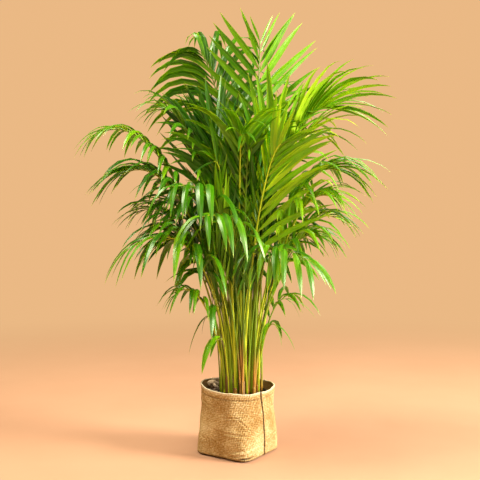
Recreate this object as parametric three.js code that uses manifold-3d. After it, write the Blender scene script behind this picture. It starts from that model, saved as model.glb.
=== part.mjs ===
// A potted palm: a clump of feather-palm seedlings in a woven jute planter bag.
//
// Millimetres, +Z up. The origin is the middle of the bag's flat base, on the ground, and -Y is the front.
// Angles are degrees, counted from +X towards +Y.

import * as THREE from 'three';
import Module from 'manifold-3d';

const wasm = await Module();
wasm.setup();

// ---------------------------------------------------------------- driving dimensions

const BAG = {
  rimRadius: 97.5, // the round mouth
  baseHalfSide: 84.5, // the rounded-square base, from its middle to a side
  baseSquareness: 7, // exponent of the outline at the base, where 2 is a circle
  rounding: 3, // how soon the square turns round on the way up
  widening: 0.85, // how soon the sides move out to the rim
  sideFacing: -34, // the way that one side of the base faces
  rimHeight: 177.75, // the mean height of the wavy rim
  wall: 3,
  floor: 4,
  hemProud: 0.8, // the turned hem stands out by this much
  hemShare: 0.9, // the share of the height where the hem starts
  sides: 32,
};

const SEAM = { rimAngle: -52, baseAngle: -33, halfWidth: 4.5, proud: 1.3, sunk: 1.2 };

const GAP = 0.35; // between neighbouring pieces that touch

const LINER = { wall: 0.9 };

const FILL_SHARES = [0.2, 0.5, 0.8]; // shares of the height where the nested walls have their rings

const SOIL = {
  top: 156,
  flatRadius: 65, // beyond it the top falls away towards the fabric
  settling: 0.11, // the slope of that fall
  rise: 3, // how much higher the back left lies
  bumps: 1.4,
  chips: 12,
  chipRing: [62, 80],
  seed: 11,
};

const CHIP = { // half sizes of a bark chip, each from the smallest to the largest
  long: [8, 14],
  cross: [5, 8],
  thick: [2.2, 3.6],
  tilt: 0.5, // the largest slope of its long way
  proud: 0.45, // the share of its half thickness that its middle lies above the soil
};

const CLUMP = { x: 9, stubRadius: 5.2, stubSides: 5, sunk: 56, collar: 14 };

const STALK = {
  footRadius: 3.7,
  tipRadius: 1.5,
  squareness: 0.75, // half the side of its square section over its radius
  segments: 5,
  pull: 0.06, // how far out its lower pull point stands, as a share of its lean
  sways: [4, 10], // how far one step of sway shifts those points aside
  clearance: 3, // between the stalks of different canes
  sample: 8, // between the points where stalks are measured against each other
};

const LEAFLET = {
  widest: 18, // the broadest that an ordinary leaflet gets
  slenderness: 0.092, // a leaflet's width over its length
  rootShare: 0.1, // the root's width over the full width
  widestAt: 0.35, // the share of the length where it is widest
  taper: 2.1, // exponent of the long point
  ridge: 1.8, // the midrib's height above the blade's underside
  steps: 12, // steps along the curve that the blade follows
  middleStep: 5, // the step whose direction sets the way that the blade lies
  levelled: 0.3, // how far the blade turns from the frond's plane to lie level
  sagPower: 1.25, // how late along the blade its droop sets in
  neck: 2, // steps from the root where the leaflets of one cane may touch
  clearance: 0.5,
};

const FAN = { // how the leaflets stand along a frond
  angle: 44, // degrees between the lowest leaflets and the stalk
  closing: 26, // how much less it is at the tip
  closingPower: 1.4,
  spread: 3, // the droop beyond which the fan opens no further
  angleScatter: 8,
  lift: 22, // degrees that the leaflets rise from the frond's plane, which makes it a V
  liftScatter: 12,
  longestAt: 0.2, // the rank of the longest leaflets
  stagger: 0.35, // how far the right leaflet of a pair roots beyond the left one
  end: 0.985, // the share of the stalk that carries the last leaflet
};

// What most fronds share: `rise` and `elbow` say how straight the stalk goes up, and how near the clump it
// then turns. `fall` is how much shorter the leaflets get towards the tip, `broad` their width against the
// others' and `splay` how wide they stand out from the stalk.
const USUAL = { rise: 0.5, elbow: 0.55, fall: 1, broad: 1, splay: 1 };

// One frond: `to` is the way that it leans, `reach` how far its tip stands from the clump's middle, `tip`
// the tip's height and `arch` how far its pull stands above the tip. `leaf` is its longest leaflet, `droop`
// the leaflets' sag, `bare` the share of the stalk below them, `pairs` their number and `face` the way that
// the frond's back looks, where that isn't the way it leans. USUAL holds for what an entry leaves out.
const CANES = [
  // the middle: the tallest and most upright
  { foot: [0, 14], fronds: [
    { to: -42, reach: 65, tip: 1074, arch: -190, leaf: 232, droop: 0.12, bare: 0.68, pairs: 9, face: -90,
      elbow: 0.95, fall: 1.05, broad: 1.1, splay: 1.1 },
    { to: 8, reach: 236, tip: 912, arch: 15, leaf: 265, droop: 0.9, bare: 0.5, pairs: 8, face: -25,
      fall: 0.5, splay: 0.34 }] },
  { foot: [120, 14], fronds: [
    { to: 164, reach: 112, tip: 1062, arch: -150, leaf: 285, droop: 1.5, bare: 0.6, pairs: 8, face: -100,
      elbow: 0.1, fall: 1.1, splay: 0.68 },
    { to: 80, reach: 140, tip: 950, arch: 20, leaf: 230, droop: 0.8, bare: 0.5, pairs: 4 }] },
  { foot: [240, 14], fronds: [
    { to: -153, reach: 92, tip: 850, arch: -50, leaf: 240, droop: 0.15, bare: 0.46, pairs: 7, face: -100,
      splay: 0.5 },
    { to: -90, reach: 150, tip: 820, arch: 30, leaf: 220, droop: 1, bare: 0.5, pairs: 5, splay: 0.7 }] },
  { foot: [60, 8], fronds: [
    { to: 200, reach: 60, tip: 770, arch: -30, leaf: 240, droop: 0.2, bare: 0.42, pairs: 4, face: -60,
      splay: 0.6 },
    { to: 30, reach: 110, tip: 800, arch: -20, leaf: 240, droop: 0.3, bare: 0.42, pairs: 4, face: -60,
      splay: 0.6 }] },
  { foot: [300, 10], fronds: [
    { to: -60, reach: 85, tip: 690, arch: -20, leaf: 230, droop: 0.3, bare: 0.42, pairs: 4, splay: 0.7 }] },
  // the first ring
  { foot: [25, 30], fronds: [
    { to: 45, reach: 210, tip: 895, arch: 30, leaf: 230, droop: 0.9, bare: 0.48, pairs: 5 },
    { to: 25, reach: 245, tip: 850, arch: 50, leaf: 260, droop: 1.1, bare: 0.46, pairs: 6, splay: 0.7 }] },
  { foot: [77, 30], fronds: [
    { to: 92, reach: 210, tip: 790, arch: 80, leaf: 220, droop: 1.2, bare: 0.45, pairs: 3 },
    { to: 100, reach: 90, tip: 920, arch: 0, leaf: 240, droop: 0.6, bare: 0.5, pairs: 4 }] },
  { foot: [128, 30], fronds: [
    { to: 122, reach: 200, tip: 890, arch: 40, leaf: 220, droop: 1, bare: 0.5, pairs: 4 },
    { to: 140, reach: 270, tip: 690, arch: 90, leaf: 220, droop: 1.4, bare: 0.45, pairs: 4 }] },
  { foot: [180, 30], fronds: [
    { to: 168, reach: 228, tip: 908, arch: 55, leaf: 190, droop: 1.4, bare: 0.5, pairs: 7 },
    { to: 165, reach: 132, tip: 862, arch: -20, leaf: 240, droop: 0.3, bare: 0.46, pairs: 5, face: -90,
      splay: 0.55 }] },
  { foot: [205, 33], fronds: [
    { to: -177, reach: 378, tip: 835, arch: 98, leaf: 160, droop: 1.8, bare: 0.53, pairs: 8, fall: 0.7 }] },
  { foot: [231, 30], fronds: [
    { to: -133, reach: 240, tip: 695, arch: 20, leaf: 190, droop: 3, bare: 0.5, pairs: 6,
      rise: 0.9, elbow: 0.3, fall: 0.6, broad: 1.15 },
    { to: -173, reach: 308, tip: 732, arch: 80, leaf: 235, droop: 1.6, bare: 0.48, pairs: 7,
      fall: 0.8, splay: 0.75 }] },
  { foot: [283, 30], fronds: [
    { to: -113, reach: 235, tip: 622, arch: 20, leaf: 190, droop: 3, bare: 0.48, pairs: 6,
      rise: 0.9, elbow: 0.3, fall: 0.6, broad: 1.15 },
    { to: -56, reach: 172, tip: 800, arch: -30, leaf: 228, droop: 0.5, bare: 0.42, pairs: 8, face: -112,
      splay: 0.85 }] },
  { foot: [335, 30], fronds: [
    { to: 6, reach: 265, tip: 745, arch: 50, leaf: 255, droop: 1.5, bare: 0.47, pairs: 7,
      fall: 0.8, splay: 0.7 },
    { to: -30, reach: 110, tip: 870, arch: -20, leaf: 240, droop: 0.3, bare: 0.45, pairs: 5, face: -60,
      splay: 0.65 }] },
  // the outer ring: low and arching
  { foot: [8, 44], fronds: [
    { to: -15, reach: 240, tip: 672, arch: 50, leaf: 215, droop: 1.45, bare: 0.46, pairs: 7,
      splay: 0.75 },
    { to: 12, reach: 135, tip: 395, arch: 45, leaf: 160, droop: 1.7, bare: 0.52, pairs: 3 },
    { to: -20, reach: 102, tip: 330, arch: 50, leaf: 140, droop: 2.6, bare: 0.6, pairs: 2 }] },
  { foot: [40, 44], fronds: [
    { to: 40, reach: 250, tip: 560, arch: 90, leaf: 205, droop: 1.5, bare: 0.43, pairs: 5 },
    { to: 8, reach: 268, tip: 615, arch: 65, leaf: 200, droop: 1.5, bare: 0.45, pairs: 5, splay: 0.75 }] },
  { foot: [72, 44], fronds: [
    { to: 66, reach: 255, tip: 630, arch: 90, leaf: 215, droop: 1.5, bare: 0.45, pairs: 4 }] },
  { foot: [103, 44], fronds: [
    { to: 100, reach: 265, tip: 540, arch: 90, leaf: 215, droop: 1.6, bare: 0.43, pairs: 3 }] },
  { foot: [137, 44], fronds: [
    { to: 146, reach: 240, tip: 550, arch: 80, leaf: 210, droop: 1.6, bare: 0.43, pairs: 5 },
    { to: 158, reach: 250, tip: 650, arch: 70, leaf: 205, droop: 1.5, bare: 0.45, pairs: 5 }] },
  { foot: [172, 44], fronds: [
    { to: 170, reach: 285, tip: 630, arch: 80, leaf: 185, droop: 1.5, bare: 0.46, pairs: 5 },
    { to: 178, reach: 235, tip: 580, arch: 70, leaf: 200, droop: 1.5, bare: 0.45, pairs: 5 }] },
  { foot: [197, 44], fronds: [
    { to: -170, reach: 215, tip: 550, arch: 80, leaf: 210, droop: 1.6, bare: 0.45, pairs: 4 },
    { to: -161, reach: 178, tip: 422, arch: 60, leaf: 145, droop: 2.2, bare: 0.5, pairs: 4 },
    { to: -174, reach: 92, tip: 356, arch: 50, leaf: 170, droop: 2.9, bare: 0.7, pairs: 2, broad: 1.2 }] },
  { foot: [224, 44], fronds: [
    { to: -156, reach: 285, tip: 552, arch: 80, leaf: 225, droop: 2.6, bare: 0.47, pairs: 6,
      rise: 0.65, elbow: 0.45, fall: 0.55, broad: 1.15 },
    { to: -134, reach: 86, tip: 306, arch: 20, leaf: 142, droop: 2.9, bare: 0.84, pairs: 1,
      elbow: 0.3, broad: 1.6, splay: 0.3 }] },
  { foot: [250, 44], fronds: [
    { to: -124, reach: 120, tip: 760, arch: 20, leaf: 220, droop: 0.8, bare: 0.47, pairs: 5, face: -90,
      splay: 0.7 }] },
  { foot: [275, 44], fronds: [
    { to: -80, reach: 115, tip: 790, arch: 20, leaf: 210, droop: 0.7, bare: 0.45, pairs: 5, splay: 0.7 }] },
  { foot: [320, 44], fronds: [
    { to: -52, reach: 250, tip: 520, arch: 65, leaf: 152, droop: 2.6, bare: 0.5, pairs: 7,
      rise: 0.9, elbow: 0.02, fall: 0.15, broad: 1.3 },
    { to: -10, reach: 215, tip: 567, arch: 60, leaf: 200, droop: 1.8, bare: 0.45, pairs: 5 }] },
];

for (const cane of CANES) cane.fronds = cane.fronds.map((frond) => ({ ...USUAL, ...frond }));

// ---------------------------------------------------------------- small helpers

const UP = new THREE.Vector3(0, 0, 1);

const radians = THREE.MathUtils.degToRad;

const mix = THREE.MathUtils.lerp;

function polar(degrees, radius = 1, height = 0) {
  const a = radians(degrees);
  return new THREE.Vector3(radius * Math.cos(a), radius * Math.sin(a), height);
}

/** `start` plus any number of [vector, amount] steps. */
function along(start, ...steps) {
  const point = start.clone();
  for (const [vector, amount] of steps) point.addScaledVector(vector, amount);
  return point;
}

/** The part of `vector` square to `axis`, as a unit vector. */
function squareTo(vector, axis) {
  return along(vector, [axis, -vector.dot(axis)]).normalize();
}

/** A seeded stream of numbers from 0 to 1. */
function stream(seed) {
  let state = (seed * 7919 + 12345) % 4294967296;
  const draw = () => {
    state = (state * 1664525 + 1013904223) % 4294967296;
    return state / 4294967296;
  };
  for (let i = 0; i < 3; i += 1) draw();
  return draw;
}

/**
 * A closed solid through rings of points, all with as many points; the last may be a single one.
 * Its quads are split the same way whether the rings rise or fall, so that nested walls match.
 */
function loft(rings) {
  const count = rings[0].length;
  const points = rings.flat();
  const faces = [];
  for (let i = 1; i < count - 1; i += 1) faces.push([0, i + 1, i]);
  for (let r = 0; r + 1 < rings.length; r += 1) {
    const low = r * count;
    const high = low + count;
    const closing = rings[r + 1].length === 1;
    const rising = rings[r + 1][0].z >= rings[r][0].z;
    for (let i = 0; i < count; i += 1) {
      const j = (i + 1) % count;
      if (closing) faces.push([low + i, low + j, high]);
      else if (rising) faces.push([low + i, low + j, high + j], [low + i, high + j, high + i]);
      else faces.push([low + i, low + j, high + i], [low + j, high + j, high + i]);
    }
  }
  const last = points.length - count;
  if (rings.at(-1).length > 1) {
    for (let i = 1; i < count - 1; i += 1) faces.push([last, last + i, last + i + 1]);
  }
  return solid(points, faces);
}

/** A solid from points and faces, with the faces turned outwards. */
function solid(points, faces) {
  let volume = 0;
  for (const [a, b, c] of faces) {
    volume += points[a].dot(new THREE.Vector3().crossVectors(points[b], points[c]));
  }
  const outward = volume < 0 ? faces.map(([a, b, c]) => [a, c, b]) : faces;
  return new wasm.Manifold(new wasm.Mesh({
    numProp: 3,
    vertProperties: new Float32Array(points.flatMap((p) => [p.x, p.y, p.z])),
    triVerts: new Uint32Array(outward.flat()),
  }));
}

/** A named mesh of a solid. */
function mesh(name, shape, color, roughness) {
  const { vertProperties, triVerts } = shape.getMesh();
  const geometry = new THREE.BufferGeometry();
  geometry.setAttribute('position', new THREE.BufferAttribute(new Float32Array(vertProperties), 3));
  geometry.setIndex(new THREE.BufferAttribute(new Uint32Array(triVerts), 1));
  geometry.computeVertexNormals();
  const material = new THREE.MeshStandardMaterial({ color, roughness, metalness: 0 });
  const named = new THREE.Mesh(geometry, material);
  named.name = name;
  return named;
}

// ---------------------------------------------------------------- the bag, its liner and the soil

/** The height of the rim, which waves: highest on the left, lowest at the front. */
function rimHeight(turn) {
  const a = radians(turn);
  return BAG.rimHeight - 3 * Math.cos(a) + 1.5 * Math.sin(a) + 3.25 * Math.cos(2 * a);
}

/** The bag's outer radius: a rounded square at the base (share 0) that turns into the round rim (1). */
function bagRadius(turn, share) {
  const squareness = 2 + (BAG.baseSquareness - 2) * (1 - share) ** BAG.rounding;
  const halfSide = mix(BAG.baseHalfSide, BAG.rimRadius, share ** BAG.widening);
  const a = radians(turn - BAG.sideFacing);
  const sum = Math.abs(Math.cos(a)) ** squareness + Math.abs(Math.sin(a)) ** squareness;
  return halfSide / sum ** (1 / squareness);
}

/** A ring round the bag at a share of its height, `inset` inside its outer face. */
function bagRing(share, inset, height = null) {
  return Array.from({ length: BAG.sides }, (_, i) => {
    const turn = (360 / BAG.sides) * i;
    return polar(turn, bagRadius(turn, share) - inset, height ?? share * rimHeight(turn));
  });
}

/** The fabric shell: up the outside, over the rim and down the inside to the floor. */
function bagShell() {
  const { hemShare, hemProud, wall, floor } = BAG;
  const foot = [[0, 6], [0.01, 1.2], [0.05, 0]];
  const outside = FILL_SHARES.map((share) => [share, 0]);
  const hem = [[hemShare, 0], [hemShare + 0.008, -hemProud], [0.985, -hemProud]];
  const rim = [[1, 0.6], [1, wall - 0.6], [0.985, wall]];
  const inside = FILL_SHARES.toReversed().map((share) => [share, wall]);
  const walls = [...foot, ...outside, ...hem, ...rim, ...inside];
  const rings = walls.map(([share, inset]) => bagRing(share, inset));
  return loft([...rings, bagRing(0.03, wall, floor)]);
}

/** The overlap seam: a flat strip sewn on the wall, which drifts to the right as it goes down. */
function bagSeam() {
  const { rimAngle, baseAngle, halfWidth, proud, sunk } = SEAM;
  const rings = [0.03, 0.2, 0.4, 0.6, 0.8, 0.975].map((share) => {
    const turn = mix(baseAngle, rimAngle, share);
    const radius = bagRadius(turn, share);
    const spread = (halfWidth / radius) * (180 / Math.PI);
    const height = share * rimHeight(turn);
    return [[-spread, -sunk], [spread, -sunk], [spread, proud], [-spread, proud]].map(
      ([aside, out]) => polar(turn + aside, bagRadius(turn + aside, share) + out, height),
    );
  });
  return loft(rings);
}

/** The film cup between the fabric and the soil. */
function linerCup() {
  const outer = BAG.wall + GAP;
  const inner = outer + LINER.wall;
  const low = BAG.floor + GAP;
  const outside = FILL_SHARES.map((share) => bagRing(share, outer));
  const inside = FILL_SHARES.toReversed().map((share) => bagRing(share, inner));
  const foot = bagRing(0.03, outer + 0.6, low);
  const bed = bagRing(0.03, inner + 0.6, low + LINER.wall);
  return loft([foot, ...outside, ...inside, bed]);
}

/** The height of the soil's top, which is loose, and highest at the back left. */
function soilTop(x, y) {
  const ripple = Math.sin(x * 0.19 + y * 0.11) + Math.sin(y * 0.23 - x * 0.07);
  const settled = SOIL.settling * Math.max(0, Math.hypot(x, y) - SOIL.flatRadius);
  return SOIL.top + SOIL.bumps * ripple * 0.5 + SOIL.rise * Math.max(0, (y - x) / 120) - settled;
}

/** The root ball: it fills the liner, and its loose top is a little lower at the fabric. */
function rootBall() {
  const inset = BAG.wall + LINER.wall + 2 * GAP;
  const bottom = BAG.floor + LINER.wall + 2 * GAP;
  const sides = FILL_SHARES.map((share) => bagRing(share, inset));
  const edge = bagRing(SOIL.top / BAG.rimHeight, inset);
  const layer = (share) => edge.map((p) => {
    const [x, y] = [p.x * share, p.y * share];
    return new THREE.Vector3(x, y, soilTop(x, y));
  });
  const middle = new THREE.Vector3(0, 0, soilTop(0, 0));
  return loft([bagRing(0.03, inset + 1, bottom), ...sides, layer(1), layer(0.7), [middle]]);
}

/** A flake of bark, bedded in the soil. */
function barkChip(x, y, draw) {
  const half = [mix(...CHIP.long, draw()), mix(...CHIP.cross, draw()), mix(...CHIP.thick, draw())];
  const yaw = draw() * 360;
  const [long, cross] = [polar(yaw), polar(yaw + 90)];
  long.z = CHIP.tilt * (draw() - 0.5);
  cross.z = CHIP.tilt * (draw() - 0.5);
  const middle = new THREE.Vector3(x, y, soilTop(x, y) + half[2] * CHIP.proud);
  const corners = [[-1, -0.7], [0.9, -1], [1, 0.6], [-0.7, 0.9]].map(
    ([u, v]) => [u * mix(0.8, 1.1, draw()), v * mix(0.8, 1.1, draw())],
  );
  const layer = (height, shrink) => corners.map(
    ([u, v]) => along(middle, [long, u * half[0] * shrink], [cross, v * half[1] * shrink], [UP, height]),
  );
  return loft([layer(-half[2], 1), layer(half[2], 0.82)]);
}

/** The bark chips lie in the ring of soil that the stems leave free. */
function barkChips() {
  const draw = stream(SOIL.seed);
  const chips = [];
  for (let i = 0; i < SOIL.chips; i += 1) {
    const turn = (360 / SOIL.chips) * (i + 0.7 * draw());
    const radius = mix(...SOIL.chipRing, draw());
    const { x, y } = polar(turn, radius);
    if (Math.hypot(x - CLUMP.x, y) > CLUMP_EDGE) chips.push(barkChip(x, y, draw));
  }
  return chips;
}

/** Plain holes for the stems. */
function stemHoles() {
  return CANES.map((cane) => upright(
    footOf(cane), CLUMP.stubRadius + GAP, SOIL.top - CLUMP.sunk - GAP, SOIL.top + 3 * CLUMP.collar,
  ));
}

// ---------------------------------------------------------------- canes, stalks and leaflets

const CLUMP_EDGE = Math.max(...CANES.map((cane) => cane.foot[1])) + CLUMP.stubRadius + 18;

/** Where a cane stands, on the ground plane. */
function footOf(cane) {
  return along(new THREE.Vector3(CLUMP.x, 0, 0), [polar(cane.foot[0]), cane.foot[1]]);
}

/** An upright many-sided post. */
function upright(foot, radius, low, high) {
  const ring = (height) => Array.from({ length: CLUMP.stubSides }, (_, i) => {
    const corner = polar((360 / CLUMP.stubSides) * i, radius, height);
    return corner.add(foot);
  });
  return loft([ring(low), ring(high)]);
}

/** The smooth curve of a frond's stalk, swayed sideways by a number of small steps. */
function stalkCurve(cane, frond, sway) {
  const foot = footOf(cane);
  const lean = along(new THREE.Vector3(CLUMP.x, 0, 0), [polar(frond.to), frond.reach]).sub(foot);
  const aside = new THREE.Vector3().crossVectors(polar(frond.to), UP);
  const pull = frond.tip + frond.arch;
  const [lowSway, highSway] = STALK.sways.map((step) => step * sway);
  return new THREE.CubicBezierCurve3(
    along(foot, [UP, SOIL.top + 2]),
    along(foot, [lean, STALK.pull], [UP, mix(SOIL.top, pull, frond.rise)], [aside, lowSway]),
    along(foot, [lean, frond.elbow], [UP, pull], [aside, highSway]),
    along(foot, [lean, 1], [UP, frond.tip]),
  );
}

/** The stalk as straight segments: its corners, and its place and direction at any share of its length. */
class Stalk {
  constructor(cane, frond, sway) {
    this.curve = stalkCurve(cane, frond, sway);
    this.corners = this.curve.getPoints(STALK.segments);
  }

  at(share) {
    const place = share * STALK.segments;
    const i = Math.min(Math.floor(place), STALK.segments - 1);
    return this.corners[i].clone().lerp(this.corners[i + 1], place - i);
  }

  radius(share) {
    return STALK.tipRadius + (STALK.footRadius - STALK.tipRadius) * (1 - share) ** 1.2;
  }

  /** Points close together along the stalk, each with its radius. */
  samples() {
    const count = Math.ceil(this.curve.getLength() / STALK.sample);
    return Array.from({ length: count + 1 }, (_, i) => ({
      point: this.at(i / count), radius: this.radius(i / count),
    }));
  }

  solid(back) {
    const rings = this.corners.map((corner, i) => {
      const share = i / STALK.segments;
      const tangent = this.curve.getTangent(share);
      const side = squareTo(new THREE.Vector3().crossVectors(back, UP), tangent);
      const top = new THREE.Vector3().crossVectors(side, tangent);
      const half = this.radius(share) * STALK.squareness;
      return [[1, 1], [-1, 1], [-1, -1], [1, -1]].map(
        ([u, v]) => along(corner, [side, u * half], [top, v * half]),
      );
    });
    return loft(rings);
  }
}

/** The least distance between the surfaces of two sampled stalks. */
function clearance(samples, others) {
  let least = Infinity;
  for (const a of samples) {
    for (const b of others) {
      least = Math.min(least, a.point.distanceTo(b.point) - a.radius - b.radius);
    }
  }
  return least;
}

/** Every stalk, each swayed sideways until it passes clear of the other canes' stalks. */
function growStalks() {
  const grown = [];
  const sways = [0, 1, -1, 2, -2, 3, -3, 4, -4, 5, -5, 6, -6];
  CANES.forEach((cane, c) => cane.fronds.forEach((frond) => {
    const others = grown.filter((stalk) => stalk.cane !== c);
    const isClear = (stalk) => {
      const samples = stalk.samples();
      return others.every((other) => clearance(samples, other.samples) >= STALK.clearance);
    };
    const tries = sways.map((sway) => new Stalk(cane, frond, sway));
    const stalk = tries.find(isClear) ?? tries[0];
    grown.push({ cane: c, frond, stalk, samples: stalk.samples() });
  }));
  return grown;
}

/** The share of a leaflet's full width at a share of its length: a narrow root, then a long point. */
function leafletWidth(share) {
  const { rootShare, widestAt, taper } = LEAFLET;
  const swell = Math.sin((Math.min(1, share / widestAt) * Math.PI) / 2);
  const beyond = Math.max(0, (share - widestAt) / (1 - widestAt));
  return mix(rootShare, 1, swell) * (1 - beyond ** taper);
}

/** The course of one leaflet: points and directions along it, and what its width follows from. */
function leafletCourse(stalk, frond, leaf, nudge) {
  const share = mix(frond.bare, 1, leaf.rank * FAN.end);
  const root = stalk.at(share);
  const tangent = stalk.curve.getTangent(share);
  const across = squareTo(new THREE.Vector3().crossVectors(polar(frond.face ?? frond.to), UP), tangent);
  const top = new THREE.Vector3().crossVectors(across, tangent);
  const angle = radians(leaf.angle + nudge.angle);
  const lift = radians(leaf.lift + nudge.lift);
  const zero = new THREE.Vector3();
  const outward = along(zero, [across, leaf.side * Math.cos(lift)], [top, Math.sin(lift)]);
  const start = along(zero, [tangent, Math.cos(angle)], [outward, Math.sin(angle)]).normalize();
  const edge = squareTo(tangent, start).multiplyScalar(leaf.side);
  const length = leaf.length * nudge.length;
  const points = [root];
  const directions = [];
  for (let i = 0; i <= LEAFLET.steps; i += 1) {
    const u = i / LEAFLET.steps;
    const direction = along(start, [UP, -leaf.droop * u ** LEAFLET.sagPower]).normalize();
    directions.push(direction);
    if (i > 0) points.push(along(points.at(-1), [direction, length / LEAFLET.steps]));
  }
  const middle = directions[LEAFLET.middleStep];
  const level = new THREE.Vector3().crossVectors(UP, middle).normalize();
  if (level.dot(edge) < 0) level.negate();
  const width = squareTo(edge.clone().lerp(level, LEAFLET.levelled), middle);
  return { points, directions, width, length, broad: frond.broad };
}

/** The steps of a leaflet's course where its solid bends: more of them where it droops. */
function stationsOf(frond) {
  return frond.droop < 1.9 ? [0, 5, LEAFLET.steps] : [0, 4, 8, LEAFLET.steps];
}

/** The half width, the midrib's height and the upward direction of a leaflet at a step of its course. */
function sectionOf(course, step) {
  const share = step / LEAFLET.steps;
  const full = Math.min(LEAFLET.widest, course.length * LEAFLET.slenderness) * course.broad;
  const normal = new THREE.Vector3().crossVectors(course.width, course.directions[step]).normalize();
  if (normal.z < 0) normal.negate();
  return {
    middle: course.points[step],
    half: (leafletWidth(share) * full) / 2,
    ridge: LEAFLET.ridge * mix(0.35, 1, leafletWidth(share)),
    normal,
  };
}

/** A leaflet's solid: a flat underside and a low midrib, from a narrow root to a point. */
function leafletSolid(course, frond) {
  const sections = stationsOf(frond).slice(0, -1).map((step) => {
    const { middle, half, ridge, normal } = sectionOf(course, step);
    const edges = [-half, half].map((aside) => along(middle, [course.width, aside]));
    return [...edges, along(middle, [normal, ridge])];
  });
  return loft([...sections, [course.points.at(-1)]]);
}

/** The room that a leaflet takes from one of its steps onwards, a little thicker than its solid. */
function leafletRoom(course, frond, first) {
  const [, ...beyond] = stationsOf(frond);
  const extra = LEAFLET.clearance;
  const rings = [first, ...beyond].map((step) => {
    const { middle, half, ridge, normal } = sectionOf(course, step);
    const corners = [[-1, -extra], [1, -extra], [1, ridge + extra], [-1, ridge + extra]];
    return corners.map(
      ([aside, rise]) => along(middle, [course.width, aside * (half + extra)], [normal, rise]),
    );
  });
  return loft(rings);
}

/** The leaflets of a frond before they are bent clear: rank 0 is the lowest, 1 the one at the tip. */
function leafletsOf(frond, seed) {
  const draw = stream(seed);
  const leaves = [];
  for (let pair = 0; pair < frond.pairs; pair += 1) {
    for (const side of [-1, 1]) {
      const rank = (pair + (side > 0 ? FAN.stagger : 0)) / (frond.pairs - 1 + FAN.stagger);
      const spread = Math.min(frond.droop, FAN.spread);
      const open = FAN.angle + 3 * spread;
      const closing = (FAN.closing - 2 * spread) * rank ** FAN.closingPower;
      const shorter = frond.fall * (rank - FAN.longestAt) ** 2;
      leaves.push({
        side,
        rank,
        angle: frond.splay * (open - closing + FAN.angleScatter * (draw() - 0.5)),
        lift: FAN.lift + FAN.liftScatter * (draw() - 0.5),
        length: frond.leaf * (1 - shorter) * mix(0.93, 1.07, draw()),
        droop: frond.droop * mix(0.8, 1.2, draw()),
      });
    }
  }
  return leaves;
}

/** Ways to bend a leaflet clear, gentlest first, as degrees of lift and of angle. */
const BENDS = [
  [0, 0], [7, 0], [-7, 0], [0, 7], [0, -7], [14, 0], [-14, 0], [10, 9], [-10, -9], [22, -5], [-22, 5],
];

/** The same ways at the leaflet's full length, and then with it ever shorter. */
const NUDGES = [1, 0.8, 0.6, 0.42].flatMap(
  (length) => BENDS.map(([lift, angle]) => ({ lift, angle, length })),
);

/** The solids placed so far, which a new leaflet has to clear. */
class Crowd {
  constructor() {
    this.members = [];
  }

  add(shape, cane, stalkOf = null) {
    this.members.push({ shape, cane, stalkOf, box: shape.boundingBox() });
  }

  /** A leaflet clears other canes from its root on, and its own cane's pieces from its neck on. */
  hasRoomFor(course, cane, frond) {
    const rooms = [leafletRoom(course, frond, 0), leafletRoom(course, frond, LEAFLET.neck)];
    const boxes = rooms.map((room) => room.boundingBox());
    return this.members.every((other) => {
      if (other.stalkOf === frond) return true;
      const i = other.cane === cane ? 1 : 0;
      return apart(boxes[i], other.box) || rooms[i].intersect(other.shape).isEmpty();
    });
  }
}

/** Whether two boxes lie clear of each other. */
function apart(a, b) {
  return [0, 1, 2].some((k) => a.min[k] > b.max[k] || a.max[k] < b.min[k]);
}

/** All canes as solids, each a stub in the soil with its stalks and leaflets fused to it. */
function growCanes(obstacles) {
  const crowd = new Crowd();
  for (const shape of obstacles) crowd.add(shape, -1);
  const pieces = CANES.map((cane) => [upright(
    footOf(cane), CLUMP.stubRadius, SOIL.top - CLUMP.sunk, SOIL.top + CLUMP.collar,
  )]);
  const stalks = growStalks();
  for (const { cane, frond, stalk } of stalks) {
    const shape = stalk.solid(polar(frond.face ?? frond.to));
    pieces[cane].push(shape);
    crowd.add(shape, cane, frond);
  }
  for (const { cane, frond, stalk } of stalks) {
    const seed = cane * 10 + CANES[cane].fronds.indexOf(frond) + 1;
    for (const leaf of leafletsOf(frond, seed)) {
      const course = NUDGES.map((nudge) => leafletCourse(stalk, frond, leaf, nudge)).find(
        (tried) => crowd.hasRoomFor(tried, cane, frond),
      );
      if (!course) continue;
      const shape = leafletSolid(course, frond);
      pieces[cane].push(shape);
      crowd.add(shape, cane);
    }
  }
  return pieces.map((parts) => wasm.Manifold.union(parts));
}

// ---------------------------------------------------------------- the assembly

const LEAF_GREENS = [0x3f7d1e, 0x5a9a24, 0x2f6a1f, 0x6aa52a];

function assemble() {
  const group = new THREE.Group();
  const bag = bagShell().add(bagSeam());
  const liner = linerCup();
  const bedded = barkChips().reduce((sum, chip) => sum.add(chip), rootBall());
  const soil = stemHoles().reduce((left, hole) => left.subtract(hole), bedded);
  group.add(mesh('bag', bag, 0xc9a56a, 0.95));
  group.add(mesh('liner', liner, 0x2b2a28, 0.6));
  group.add(mesh('soil', soil, 0x2a1d15, 1));
  growCanes([bag, soil]).forEach((cane, i) => {
    const name = `cane_${String(i + 1).padStart(2, '0')}`;
    group.add(mesh(name, cane, LEAF_GREENS[i % LEAF_GREENS.length], 0.5));
  });
  return group;
}

export default assemble();
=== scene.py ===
"""A potted palm: a clump of feather-palm seedlings in a woven jute planter bag.

Metres, +Z up. The origin is the middle of the bag's flat base, on the ground, and -Y is the front.
Angles are degrees, counted from +X towards +Y.
"""

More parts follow.
